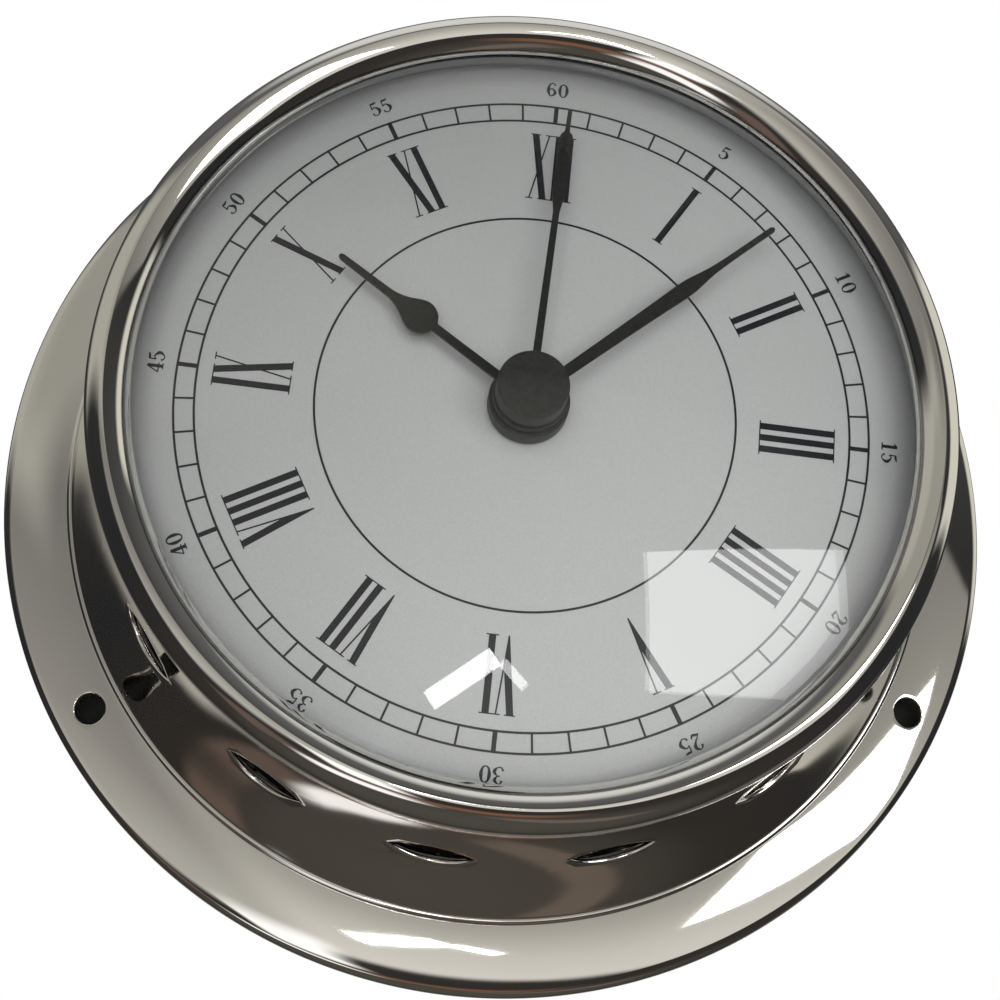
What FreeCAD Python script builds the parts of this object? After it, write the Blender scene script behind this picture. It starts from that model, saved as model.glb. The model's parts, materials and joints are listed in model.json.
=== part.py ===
"""Ship's deck clock: a chromed wall clock with a screw-down flange and a twist-off front.

Every piece is drawn lying on its back: X points to 3 o'clock, Y to 12 o'clock and Z out of
the wall, with the wall plane at Z = 0. The placement then stands it up, so that the front
faces -Y and 12 o'clock is +Z. All lengths are in millimetres and all angles in degrees.
"""
import FreeCAD, Part
import math
import os
import Sketcher
from FreeCAD import Placement, Rotation, Vector

SIZES = {
    # Mounting flange
    "flange_radius": 60.0, "flange_inner_radius": 48.0, "flange_height": 3.4,
    "flange_edge_height": 2.0, "screw_circle_radius": 55.5, "screw_hole_radius": 1.75,
    # Flared drum and its vents
    "drum_radius": 44.9, "wall": 1.2, "flare_top": 24.5, "foot_radius": 51.7, "drum_top": 27.6,
    "vent_width": 9.6, "vent_bow": 7.63, "vent_level": 15.6, "bead_radius": 0.55,
    "dust_ring_inner": 40.0, "dust_ring_outer": 50.4, "dust_ring_thick": 0.6,
    # Bayonet between drum and instrument
    "bayonet_ring_low": 22.0, "bayonet_ring_high": 23.2, "bayonet_ring_radius": 42.7,
    "bayonet_web_radius": 43.4, "lug_radius": 43.25, "lug_low": 20.4, "lug_high": 21.8,
    "collar_radius": 42.4, "collar_wall": 0.9, "collar_low": 19.0,
    # Bezel, glass and dial
    "dial_level": 28.7, "dial_thick": 0.4, "collar_flange_thick": 0.5, "bezel_bore": 45.05,
    "bezel_skirt_low": 27.2, "bezel_radius": 46.3, "bezel_shoulder_level": 31.6,
    "bezel_crest_level": 35.2, "bezel_crest_radius": 44.2, "window_radius": 41.7,
    "glass_seat_level": 32.7, "gasket_thick": 0.3, "glass_thick": 1.6, "glass_radius": 44.6,
    "dome_radius": 42.3, "dome_inner_radius": 41.85, "dome_rise": 7.6, "reflector_radius": 42.6,
    # Hands: levels are heights above the dial
    "hour_hub_radius": 4.4, "hour_hub_low": 0.4, "hour_hub_high": 2.4, "hour_hub_roof": 0.65,
    "minute_hub_radius": 4.0, "minute_hub_low": 2.65, "minute_hub_high": 3.55,
    "cap_radius": 3.85, "cap_low": 3.65, "cap_high": 6.6, "cap_roof": 0.4, "blade_thick": 0.3,
    "hour_reach": 26.3, "hour_bulb": 15.0, "hour_bulb_radius": 1.9, "minute_reach": 34.9,
    "minute_bulge": 21.6, "minute_width": 1.8, "second_reach": 35.4, "second_width": 0.9,
    "baton_low": 23.4, "baton_high": 31.6, "baton_width": 1.5,
    # Bush, nut and nested arbors
    "bush_radius": 3.0, "hour_tube_radius": 2.05, "minute_tube_radius": 1.38,
    "second_arbor_radius": 0.55, "running_gap": 0.06, "nut_radius": 3.6, "nut_thick": 1.1,
    "washer_thick": 0.2, "cushion_radius": 7.0,
    # Quartz movement
    "movement_side": 56.0, "movement_low": 11.2, "cover_thick": 1.4, "movement_high": 27.2,
    "corner_radius": 4.0, "shell": 1.2, "roof": 1.3, "plate_low": 18.9, "plate_thick": 0.8,
    "partition": 10.8, "partition_thick": 0.8, "battery_roof": 0.7, "battery_radius": 7.15,
    "battery_length": 49.0, "battery_cap_radius": 2.7, "battery_cap_length": 1.4,
    "battery_offset": 19.2, "contact_thick": 0.5, "contact_half": 5.0,
    # Circuit board and motor
    "board_low": 13.2, "board_thick": 1.0, "chip_thick": 1.0, "board_left": -26.4,
    "board_right": -16.6, "board_foot": 11.2, "board_head": 26.4, "crystal_radius": 1.0,
    "crystal_length": 6.2, "stator_low": 15.1, "stator_thick": 0.8, "stator_left": -15.0,
    "stator_right": 16.3, "stator_head": 24.5, "stator_bar": 14.0, "stator_step": 7.4,
    "stator_foot": 9.2, "rotor_radius": 2.6, "rotor_gap": 0.6, "coil_left": -10.4,
    "coil_right": 11.0, "coil_half": 2.9, "coil_rise": 2.4, "bobbin_half": 3.6,
    "bobbin_rise": 2.8, "bobbin_cheek": 1.0,
    # Arbors, and the levels of the wheels and pinions on them
    "pivot_radius": 0.5, "pivot_depth": 0.5, "setting_radius": 0.6, "rotor_leaf_low": 12.8,
    "rotor_leaf_high": 13.9, "magnet_low": 14.3, "magnet_high": 16.8, "second_leaf_high": 16.9,
    "relay_low": 12.9, "relay_high": 13.7, "relay_leaf_high": 15.3, "second_low": 14.1,
    "second_high": 15.1, "third_low": 15.5, "third_high": 16.5, "third_leaf_high": 18.4,
    "centre_low": 17.1, "centre_high": 18.1, "centre_boss_high": 18.6, "arbor_low": 17.05,
    "cannon_low": 20.1, "cannon_high": 21.5, "motion_low": 20.3, "motion_high": 21.3,
    "motion_leaf_high": 23.2, "hour_wheel_low": 21.9, "hour_wheel_high": 22.9,
    # Setting knob
    "knob_radius": 4.5, "knob_low": 8.4, "knob_high": 10.9, "knob_seat": 9.6,
    # Wheel train
    "train_module": 0.3, "motion_module": 0.5, "train_distance": 10.8, "motion_distance": 12.0,
}
HOUR_ANGLE = 302.6        # clockwise from 12 o'clock, at about eight minutes past ten
MINUTE_ANGLE = 46.7
SECOND_ANGLE = 2.1
BASE_CLOCKING = 6.4       # the screw holes sit this far anticlockwise of 12 o'clock
VENTS = 15
SCREWS = 3                # the bayonet has as many lugs, gaps and stops
KNOB_GROOVES = 24
INTERMEDIATE_BEARING = 25.0   # directions of the wheel centres, anticlockwise from 3 o'clock
THIRD_BEARING = 180.0
MINUTE_BEARING = 90.0
ROTOR_BEARING = 75.0          # seen from the intermediate wheel
CENTRE_MODULE = SIZES["train_distance"] * 2 / (8 + 60)    # third pinion and centre wheel
HOUR_MODULE = SIZES["motion_distance"] * 2 / (10 + 40)    # minute pinion and hour wheel

STAND_UP = Placement(Vector(0, 0, 0), Rotation(Vector(1, 0, 0), 90))

doc = FreeCAD.newDocument("DeckClock")
sheet = doc.addObject("Spreadsheet::Sheet", "Sizes")


class Dim:
    """A length with the sheet formula that gives it, so that a sketch can be bound to it."""

    def __init__(self, value, formula=None):
        self.value = float(value)
        self.formula = formula or repr(float(value))

    def join(self, other, sign, value):
        return Dim(value, "(%s %s %s)" % (self.formula, sign, other.formula))

    def __add__(self, other):
        other = as_dim(other)
        return self.join(other, "+", self.value + other.value)

    def __sub__(self, other):
        other = as_dim(other)
        return self.join(other, "-", self.value - other.value)

    def __rsub__(self, other):
        return as_dim(other) - self

    def __mul__(self, other):
        other = as_dim(other)
        return self.join(other, "*", self.value * other.value)

    def __truediv__(self, other):
        other = as_dim(other)
        return self.join(other, "/", self.value / other.value)

    def __neg__(self):
        return Dim(-self.value, "(0 - %s)" % self.formula)

    __radd__ = __add__
    __rmul__ = __mul__


def as_dim(number):
    return number if isinstance(number, Dim) else Dim(number)


class Sizes:
    """The driving dimensions as attributes, each one bound to its cell."""


size = Sizes()
for row, (alias, number) in enumerate(SIZES.items(), start=1):
    sheet.set("A%d" % row, alias)
    sheet.set("B%d" % row, repr(number))
    sheet.setAlias("B%d" % row, alias)
    setattr(size, alias, Dim(number, "Sizes." + alias))
doc.recompute()

# Levels and places that several pieces share
collar_flange_high = size.dial_level - size.dial_thick
collar_flange_low = collar_flange_high - size.collar_flange_thick
glass_top = size.glass_seat_level - size.gasket_thick
glass_low = glass_top - size.glass_thick
cover_high = size.movement_low + size.cover_thick
roof_low = size.movement_high - size.roof
plate_high = size.plate_low + size.plate_thick
nut_low = size.dial_level + size.washer_thick
nut_high = nut_low + size.nut_thick
pivot_hole = size.pivot_radius + size.running_gap
setting_hole = size.setting_radius + size.running_gap
pivot_low = cover_high - size.pivot_depth
pivot_high = size.plate_low + size.pivot_depth
battery_level = size.movement_high - size.battery_roof - size.battery_radius - 0.1
contact_low = cover_high + 1
contact_high = size.movement_high - 1.2


# ---------------------------------------------------------------- sketches and features
def origin_feature(body, role):
    return next(item for item in body.Origin.OriginFeatures if item.Role == role)


def new_body(label, turn=0.0):
    """A body standing up, turned anticlockwise about the clock's axis."""
    body = doc.addObject("PartDesign::Body", label)
    body.Label = label
    body.Placement = STAND_UP.multiply(Placement(Vector(0, 0, 0), Rotation(Vector(0, 0, 1), turn)))
    return body


def new_sketch(body, plane, level=0, turn=0.0):
    sketch = body.newObject("Sketcher::SketchObject", body.Label + "_sketch")
    sketch.AttachmentSupport = [(origin_feature(body, plane), "")]
    sketch.MapMode = "FlatFace"
    level = as_dim(level)
    sketch.AttachmentOffset = Placement(Vector(0, 0, level.value), Rotation(Vector(0, 0, 1), turn))
    if level.value:
        sketch.setExpression("AttachmentOffset.Base.z", level.formula)
    return sketch


def bind(sketch, kind, elements, dim):
    index = sketch.addConstraint(Sketcher.Constraint(kind, *elements, dim.value))
    sketch.setExpression("Constraints[%d]" % index, dim.formula)


def place_point(sketch, element, end, x, y):
    """Fixes a point of the sketch at x, y from its origin."""
    for kind, axis, dim in (("DistanceX", -2, as_dim(x)), ("DistanceY", -1, as_dim(y))):
        if abs(dim.value) < 1e-9:
            sketch.addConstraint(Sketcher.Constraint("PointOnObject", element, end, axis))
        elif dim.value > 0:
            bind(sketch, kind, (-1, 1, element, end), dim)
        else:
            bind(sketch, kind, (element, end, -1, 1), -dim)


def arc_through(start, end, radius):
    """An arc from start to end; a positive radius turns left on the way. Also its start's end."""
    chord = end - start
    rise = math.sqrt(max(radius ** 2 - (chord.Length / 2) ** 2, 0.0))
    left = Vector(-chord.y, chord.x, 0).normalize()
    centre = (start + end) * 0.5 + left * math.copysign(rise, radius)
    first, last = (start, end) if radius > 0 else (end, start)
    angles = [math.atan2(point.y - centre.y, point.x - centre.x) for point in (first, last)]
    if angles[1] < angles[0]:
        angles[1] += 2 * math.pi
    circle = Part.Circle(centre, Vector(0, 0, 1), abs(radius))
    return Part.ArcOfCircle(circle, angles[0], angles[1]), 1 if radius > 0 else 2


def draw(sketch, outline):
    """A closed outline. Each corner is (x, y), or (x, y, r) where an arc of radius r leads to it."""
    corners = [Vector(as_dim(corner[0]).value, as_dim(corner[1]).value, 0) for corner in outline]
    starts = []
    for number, corner in enumerate(outline):
        start, end = corners[number - 1], corners[number]
        if len(corner) == 3:
            arc, start_end = arc_through(start, end, as_dim(corner[2]).value)
            element = sketch.addGeometry(arc)
            bind(sketch, "Radius", (element,), abs_dim(corner[2]))
        else:
            element = sketch.addGeometry(Part.LineSegment(start, end))
            start_end = 1
        starts.append((element, start_end))
    for number, (element, start_end) in enumerate(starts):
        before, before_start = starts[number - 1]
        joint = Sketcher.Constraint("Coincident", before, 3 - before_start, element, start_end)
        sketch.addConstraint(joint)
        place_point(sketch, element, start_end, outline[number - 1][0], outline[number - 1][1])


def abs_dim(number):
    dim = as_dim(number)
    return dim if dim.value > 0 else -dim


def draw_circle(sketch, x, y, radius):
    radius = as_dim(radius)
    centre = Vector(as_dim(x).value, as_dim(y).value, 0)
    element = sketch.addGeometry(Part.Circle(centre, Vector(0, 0, 1), radius.value))
    bind(sketch, "Radius", (element,), radius)
    place_point(sketch, element, 3, x, y)


def turned(label, outline, turn=0.0):
    """A piece turned on a lathe: the outline runs through (radius, height) corners."""
    body = new_body(label, turn)
    add_turning(body, outline)
    return body


def add_turning(body, outline, kind="Revolution"):
    sketch = new_sketch(body, "XZ_Plane")
    draw(sketch, outline)
    feature = body.newObject("PartDesign::" + kind, body.Label + "_turning")
    feature.Profile = sketch
    feature.ReferenceAxis = (sketch, ["V_Axis"])
    feature.Angle = 360
    return feature


def add_pad(body, low, high, outline=None, circles=(), turn=0.0):
    """A prism between two levels, from an outline, from circles, or from both."""
    low, high = as_dim(low), as_dim(high)
    sketch = new_sketch(body, "XY_Plane", low, turn)
    if outline:
        draw(sketch, outline)
    for circle in circles:
        draw_circle(sketch, *circle)
    pad = body.newObject("PartDesign::Pad", body.Label + "_pad")
    pad.Profile = sketch
    pad.setExpression("Length", (high - low).formula)
    return pad


def add_pocket(body, low, high, outline=None, circles=(), turn=0.0):
    """A prism cut away between two levels."""
    low, high = as_dim(low), as_dim(high)
    sketch = new_sketch(body, "XY_Plane", high, turn)
    if outline:
        draw(sketch, outline)
    for circle in circles:
        draw_circle(sketch, *circle)
    pocket = body.newObject("PartDesign::Pocket", body.Label + "_pocket")
    pocket.Profile = sketch
    pocket.setExpression("Length", (high - low).formula)
    return pocket


def repeat_round(body, features, count):
    pattern = body.newObject("PartDesign::PolarPattern", body.Label + "_pattern")
    pattern.Originals = features
    pattern.Axis = (origin_feature(body, "Z_Axis"), [""])
    pattern.Angle = 360
    pattern.Occurrences = count
    body.Tip = pattern
    return pattern


def tube(label, inner, outer, low, high, turn=0.0):
    return turned(label, [(inner, low), (outer, low), (outer, high), (inner, high)], turn)


def rectangle(x_low, x_high, y_low, y_high):
    return [(x_low, y_low), (x_high, y_low), (x_high, y_high), (x_low, y_high)]


def rounded(x_low, x_high, y_low, y_high, radius):
    """A rectangle with rounded corners."""
    return [(x_high - radius, y_low), (x_high, y_low + radius, radius),
            (x_high, y_high - radius), (x_high - radius, y_high, radius),
            (x_low + radius, y_high), (x_low, y_high - radius, radius),
            (x_low, y_low + radius), (x_low + radius, y_low, radius)]


def sector(inner, outer, first, last):
    """A slice of a ring between two angles, anticlockwise from 3 o'clock."""
    spots = [(radius, math.radians(angle)) for radius, angle in
             ((inner, first), (outer, first), (outer, last), (inner, last))]
    corners = [(radius * math.cos(angle), radius * math.sin(angle)) for radius, angle in spots]
    return [corners[0] + (-inner,), corners[1], corners[2] + (outer,), corners[3]]


# ---------------------------------------------------------------- case: drum and flange
def mounting_flange():
    """A turned ring with a gently domed face, a rounded rim and three screw holes."""
    radius = size.flange_radius
    body = turned("mounting_flange", [
        (size.flange_inner_radius, 0),
        (radius - 0.8, 0),
        (radius, 0.8, 0.8),
        (radius - 0.7, size.flange_edge_height, 1.3),
        (size.foot_radius + 0.6, size.flange_height, 26.0),
        (size.flange_inner_radius, size.flange_height),
    ], BASE_CLOCKING)
    hole = add_pocket(body, -1, size.flange_height + 1,
                      circles=[(0, size.screw_circle_radius, size.screw_hole_radius)])
    repeat_round(body, [hole], SCREWS)
    return body


def case_drum():
    """A spun drum: straight under the bezel, then flared to a beaded foot, with lens vents."""
    top, foot, radius, wall = size.drum_top, size.flange_height, size.drum_radius, size.wall
    bead = size.bead_radius
    body = turned("case_drum", [
        (size.foot_radius - wall, foot),
        (size.foot_radius + bead, foot),
        (size.foot_radius - 0.12, foot + bead * 1.4, bead),
        (radius, size.flare_top, -66.0),
        (radius, top),
        (radius - wall, top),
        (radius - wall, size.flare_top),
        (size.foot_radius - wall, foot + bead * 1.4, 67.2),
    ], BASE_CLOCKING)
    sketch = new_sketch(body, "XZ_Plane")
    half, level, bow = size.vent_width / 2, size.vent_level, size.vent_bow
    draw(sketch, [(half, level, bow), (-half, level, bow)])
    vent = body.newObject("PartDesign::Pocket", "case_drum_vent")
    vent.Profile = sketch
    vent.Length = 60
    repeat_round(body, [vent], VENTS)
    return body


def dust_ring():
    """A black fibre ring that lies on the flange inside the drum and keeps dust from the vents."""
    return tube("dust_ring", size.dust_ring_inner, size.dust_ring_outer, size.flange_height,
                size.flange_height + size.dust_ring_thick)


def bayonet_ring():
    """The female half of the bayonet: a rail with three gaps, and stops below it."""
    body = tube("bayonet_ring", size.bayonet_ring_radius, size.drum_radius - size.wall,
                size.bayonet_ring_low, size.bayonet_ring_high, BASE_CLOCKING)
    inner, web = SIZES["bayonet_ring_radius"] - 1, SIZES["bayonet_web_radius"]
    gap = add_pocket(body, size.bayonet_ring_low - 1, size.bayonet_ring_high + 1,
                     sector(inner, web, 17, 33))
    repeat_round(body, [gap], SCREWS)
    outer = SIZES["drum_radius"] - SIZES["wall"]
    stop = add_pad(body, size.lug_low, size.bayonet_ring_low + 0.2,
                   sector(inner + 1, outer, -9.8, -5.8))
    repeat_round(body, [stop], SCREWS)
    return body


# ---------------------------------------------------------------- instrument: bezel, glass, dial
def bayonet_collar():
    """The male half: a short tube behind the dial with a seat flange and three lugs."""
    inner = size.collar_radius - size.collar_wall
    body = turned("bayonet_collar", [
        (inner, size.collar_low),
        (size.collar_radius, size.collar_low),
        (size.collar_radius, collar_flange_low),
        (size.bezel_bore, collar_flange_low),
        (size.bezel_bore, collar_flange_high),
        (inner, collar_flange_high),
    ], BASE_CLOCKING)
    lug = add_pad(body, size.lug_low, size.lug_high,
                  sector(SIZES["collar_radius"] - 0.4, SIZES["lug_radius"], -5, 5))
    repeat_round(body, [lug], SCREWS)
    return body


def bezel():
    """A polished rolled bezel: skirt outside the drum, round crest, sloping lip over the glass."""
    crest = (size.bezel_crest_radius, size.bezel_crest_level)
    shoulder = (size.bezel_radius, size.bezel_shoulder_level)
    return turned("bezel", [
        (size.bezel_bore, size.bezel_skirt_low),
        (size.bezel_bore + 0.5, size.bezel_skirt_low),
        shoulder + (9.0,),
        crest + (3.0,),
        (size.window_radius, size.glass_seat_level + 0.5, 4.2),
        (size.window_radius, size.glass_seat_level),
        (size.bezel_bore, size.glass_seat_level),
    ])


def glass_gasket():
    return tube("glass_gasket", size.dome_radius, size.glass_radius, glass_top,
                size.glass_seat_level)


def domed_glass():
    """A domed glass with a flat rim: both faces are parts of spheres."""
    rise = size.dome_rise
    outer, inner = ((rim * rim + rise * rise) / (rise * 2)
                    for rim in (size.dome_radius, size.dome_inner_radius))
    return turned("domed_glass", [
        (0, glass_low + size.dome_rise),
        (size.dome_inner_radius, glass_low, -inner),
        (size.glass_radius, glass_low),
        (size.glass_radius, glass_top),
        (size.dome_radius, glass_top),
        (0, glass_top + size.dome_rise, outer),
    ])


def reflector_ring():
    """The spacer between dial and glass."""
    return turned("reflector_ring", [
        (size.reflector_radius + 0.4, size.dial_level),
        (size.bezel_bore, size.dial_level),
        (size.bezel_bore, glass_low),
        (size.reflector_radius, glass_low),
        (size.reflector_radius, glass_low - 0.3),
    ])


def dial_plate():
    return tube("dial_plate", size.bush_radius + 0.05, size.bezel_bore, collar_flange_high,
                size.dial_level)


# ---------------------------------------------------------------- centre fixing
def cushion_washer():
    """A rubber washer between the movement and the dial."""
    return tube("rubber_washer", size.bush_radius, size.cushion_radius, size.movement_high,
                collar_flange_high)


def dial_washer():
    return tube("dial_washer", size.bush_radius, size.nut_radius, size.dial_level, nut_low)


def centre_nut():
    """A hexagon nut that clamps dial and movement together."""
    body = new_body("centre_nut")
    flat = size.nut_radius * math.cos(math.radians(30))
    half = size.nut_radius * 0.5
    add_pad(body, nut_low, nut_high,
            [(size.nut_radius, 0), (half, flat), (-half, flat), (-size.nut_radius, 0),
             (-half, -flat), (half, -flat)],
            [(0, 0, size.bush_radius)])
    return body


def threaded_bush():
    """The fixed centre tube of the movement, with thread grooves at its front."""
    bore = size.hour_tube_radius + size.running_gap
    body = turned("threaded_bush", [
        (bore, roof_low - 1), (size.bush_radius + 1.2, roof_low - 1),
        (size.bush_radius + 1.2, roof_low), (size.bush_radius, roof_low),
        (size.bush_radius, nut_high + 0.1), (bore, nut_high + 0.1)])
    depth = size.bush_radius - 0.12
    for step in range(3):
        level = nut_high - 0.9 + 0.36 * step
        add_turning(body, [(depth, level), (size.bush_radius + 0.3, level - 0.12),
                           (size.bush_radius + 0.3, level + 0.12)], "Groove")
    return body


# ---------------------------------------------------------------- movement housing
def centres():
    """Centres of the intermediate wheel, rotor, third wheel and minute wheel."""
    module = SIZES["train_module"]
    first = polar(module * 35, INTERMEDIATE_BEARING)
    rotor = tuple(a + b for a, b in zip(first, polar(module * 30, ROTOR_BEARING)))
    third = polar(SIZES["train_distance"], THIRD_BEARING)
    minute = polar(SIZES["motion_distance"], MINUTE_BEARING)
    return first, rotor, third, minute


def polar(radius, bearing):
    angle = math.radians(bearing)
    return round(radius * math.cos(angle), 6), round(radius * math.sin(angle), 6)


def front_housing():
    """The moulded front half: a square tray with a gear room and a battery room."""
    half, shell = size.movement_side / 2, size.shell
    inner = half - shell
    body = new_body("movement_front_housing")
    add_pad(body, cover_high, size.movement_high,
            rounded(-half, half, -half, half, size.corner_radius))
    add_pocket(body, cover_high, roof_low, rectangle(-inner, inner, -size.partition, inner))
    add_pocket(body, cover_high, size.movement_high - size.battery_roof,
               rectangle(-inner, inner, -inner, -size.partition - size.partition_thick))
    add_pocket(body, roof_low, size.movement_high, circles=[(0, 0, size.bush_radius)])
    minute = centres()[3]
    add_pocket(body, roof_low, roof_low + size.pivot_depth + 0.1,
               circles=[minute + (setting_hole,)])
    return body


def rear_cover():
    """The snap-on back of the movement, open over the battery and for the setting arbor."""
    half = size.movement_side / 2
    body = new_body("movement_rear_cover")
    add_pad(body, size.movement_low, cover_high,
            rounded(-half, half, -half, half, size.corner_radius))
    add_pocket(body, size.movement_low, cover_high,
               rounded(-half + 1.6, half - 1.6, -half + 1.4, -size.partition - 0.9, 1.5))
    first, rotor, third, minute = centres()
    for x, y in (first, rotor, third, (0, 0)):
        add_pocket(body, pivot_low - 0.1, cover_high, circles=[(x, y, pivot_hole)])
    add_pocket(body, size.movement_low, cover_high, circles=[minute + (setting_hole,)])
    for x in (-20.0, 20.0):
        add_pocket(body, size.movement_low, size.movement_low + 0.5,
                   rounded(x - 3.0, x + 3.0, 18.0, 20.0, 0.6))
    return body


def middle_plate():
    """The bridge between the going train and the motion work."""
    side = size.movement_side / 2 - size.shell
    body = new_body("middle_plate")
    add_pad(body, size.plate_low, plate_high, rectangle(-side, side, -size.partition, 18.4))
    add_pocket(body, size.plate_low, plate_high,
               circles=[(0, 0, size.minute_tube_radius + size.running_gap)])
    first, rotor, third, minute = centres()
    for x, y in (first, rotor, third):
        add_pocket(body, size.plate_low, plate_high, circles=[(x, y, pivot_hole)])
    add_pocket(body, size.plate_low, plate_high, circles=[minute + (setting_hole,)])
    return body


def battery():
    """An AA cell lying across the lower half, its cap towards 3 o'clock."""
    body = new_body("battery")
    half = size.battery_length / 2
    cap_end = half + size.battery_cap_length
    for start, end, radius in ((-half, half, size.battery_radius),
                               (half, cap_end, size.battery_cap_radius)):
        sketch = new_sketch(body, "YZ_Plane", start)
        draw_circle(sketch, -size.battery_offset, battery_level, radius)
        pad = body.newObject("PartDesign::Pad", "battery_pad")
        pad.Profile = sketch
        pad.setExpression("Length", (end - start).formula)
    return body


def contact_strip(label, wall, inward, reach, tip):
    """A strip on the end wall of the battery room whose middle stands out to meet the cell."""
    middle, half = -size.battery_offset, size.contact_half
    body = new_body(label)
    add_pad(body, contact_low, contact_high, [
        (wall, middle - half), (wall + inward, middle - half), (reach, middle - tip),
        (reach, middle + tip), (wall + inward, middle + half), (wall, middle + half)])
    return body


def positive_contact():
    wall = size.movement_side / 2 - size.shell
    reach = size.battery_length / 2 + size.battery_cap_length
    return contact_strip("positive_contact", wall, -size.contact_thick, reach, 2.6)


def negative_contact():
    """The strip at the flat end of the cell has a hollow bow, so that it springs."""
    wall, thick = size.shell - size.movement_side / 2, size.contact_thick
    reach, tip = -(size.battery_length / 2), as_dim(1.4)
    body = contact_strip("negative_contact", wall, thick, reach, tip)
    middle, half = -size.battery_offset, size.contact_half - thick * 2
    add_pocket(body, contact_low, contact_high, [
        (wall + thick, middle - half), (reach - thick, middle - tip),
        (reach - thick, middle + tip), (wall + thick, middle + half)])
    return body


def circuit_board():
    """A narrow board with the clock's chip under its blob of resin."""
    high = size.board_low + size.board_thick
    right, left = size.board_right, size.board_left
    body = new_body("circuit_board")
    add_pad(body, size.board_low, high, rectangle(left, right, size.board_foot, size.board_head))
    add_pad(body, high, high + size.chip_thick,
            rounded(left + 3.8, right - 2.0, size.board_foot + 2.4, size.board_foot + 6.4, 1.2))
    return body


def quartz_crystal():
    """A tuning-fork crystal in its can, lying on the board."""
    body = new_body("quartz_crystal")
    level = size.board_low + size.board_thick + size.crystal_radius
    sketch = new_sketch(body, "YZ_Plane", size.board_left + 2.0)
    draw_circle(sketch, size.board_head - 4.0, level, size.crystal_radius)
    pad = body.newObject("PartDesign::Pad", "quartz_crystal_pad")
    pad.Profile = sketch
    pad.setExpression("Length", size.crystal_length.formula)
    return body


def stator():
    """One flat loop of soft iron: the lower bar holds the rotor, the upper bar the coil."""
    rotor = centres()[1]
    body = new_body("stator")
    low, high = size.stator_low, size.stator_low + size.stator_thick
    left, right, head = size.stator_left, size.stator_right, size.stator_head
    step, bar, foot = size.stator_step, size.stator_bar, size.stator_foot
    add_pad(body, low, high,
            [(left, bar), (step, bar), (step, foot), (right, foot), (right, head), (left, head)],
            [rotor + (size.rotor_radius + size.rotor_gap,)])
    add_pocket(body, low, high, rectangle(left + 3.0, right - 3.7, bar + 3.4, head - 3.0))
    return body


def coil():
    """The winding on its bobbin, threaded on the stator's upper bar."""
    body = new_body("coil_winding")
    axis, level = size.stator_head - 1.5, size.stator_low + size.stator_thick / 2
    left, right, cheek = size.coil_left, size.coil_right, size.bobbin_cheek
    for start, end, half, rise in (
            (left - cheek, left, size.bobbin_half, size.bobbin_rise),
            (left, right, size.coil_half, size.coil_rise),
            (right, right + cheek, size.bobbin_half, size.bobbin_rise)):
        sketch = new_sketch(body, "YZ_Plane", start)
        draw(sketch, rectangle(axis - half, axis + half, level - rise, level + rise))
        draw(sketch, rectangle(axis - 1.6, axis + 1.6, level - 0.5, level + 0.5))
        pad = body.newObject("PartDesign::Pad", "coil_pad")
        pad.Profile = sketch
        pad.setExpression("Length", (end - start).formula)
    return body


# ---------------------------------------------------------------- wheels
def add_gear(body, teeth, module, phase, low, high, x=0.0, y=0.0, axis=None):
    """A toothed wheel with slender tapered teeth, the first one pointing along phase."""
    pitch = module * teeth / 2
    root, tip = pitch - 1.15 * module, pitch + 0.8 * module
    add_pad(body, low, high, circles=[(0, 0, root)])
    half_root = module * math.pi * 0.26
    half_pitch = module * math.pi * 0.19
    half_tip = module * math.pi * 0.085
    start = math.sqrt(root ** 2 - half_root ** 2) - 0.1 * module
    tooth = add_pad(body, low, high,
                    [(start, -half_root), (pitch, -half_pitch), (tip, -half_tip),
                     (tip, half_tip), (pitch, half_pitch), (start, half_root)], turn=phase)
    return repeat_round(body, [tooth], teeth)


def wheel_body(label, centre):
    body = new_body(label)
    shift = Placement(Vector(centre[0], centre[1], 0), Rotation())
    body.Placement = STAND_UP.multiply(shift)
    return body


def facing(teeth, bearing):
    """Phase of a wheel that shows a gap in the given direction."""
    return bearing + 180.0 / teeth


def rotor_pinion():
    """The rotor's arbor and ten-leaf pinion."""
    body = wheel_body("rotor_pinion", centres()[1])
    add_pad(body, pivot_low, pivot_high, circles=[(0, 0, size.pivot_radius)])
    add_gear(body, 10, SIZES["train_module"], ROTOR_BEARING + 180, size.rotor_leaf_low,
             size.rotor_leaf_high)
    return body


def rotor_magnet():
    body = wheel_body("rotor_magnet", centres()[1])
    add_pad(body, size.magnet_low, size.magnet_high,
            circles=[(0, 0, size.rotor_radius), (0, 0, size.pivot_radius)])
    return body


def intermediate_wheel():
    module = SIZES["train_module"]
    body = wheel_body("intermediate_wheel", centres()[0])
    add_pad(body, pivot_low, pivot_high, circles=[(0, 0, size.pivot_radius)])
    add_gear(body, 50, module, facing(50, ROTOR_BEARING), size.relay_low, size.relay_high)
    add_gear(body, 10, module, INTERMEDIATE_BEARING + 180, size.relay_high, size.relay_leaf_high)
    return body


def seconds_wheel():
    """The seconds wheel, its pinion and the long arbor that carries the second hand."""
    module = SIZES["train_module"]
    body = new_body("seconds_wheel")
    add_pad(body, pivot_low, size.dial_level + size.cap_high - size.cap_roof,
            circles=[(0, 0, size.second_arbor_radius)])
    add_gear(body, 60, module, facing(60, INTERMEDIATE_BEARING), size.second_low,
             size.second_high)
    add_gear(body, 8, module, THIRD_BEARING, size.second_high, size.second_leaf_high)
    return body


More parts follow.
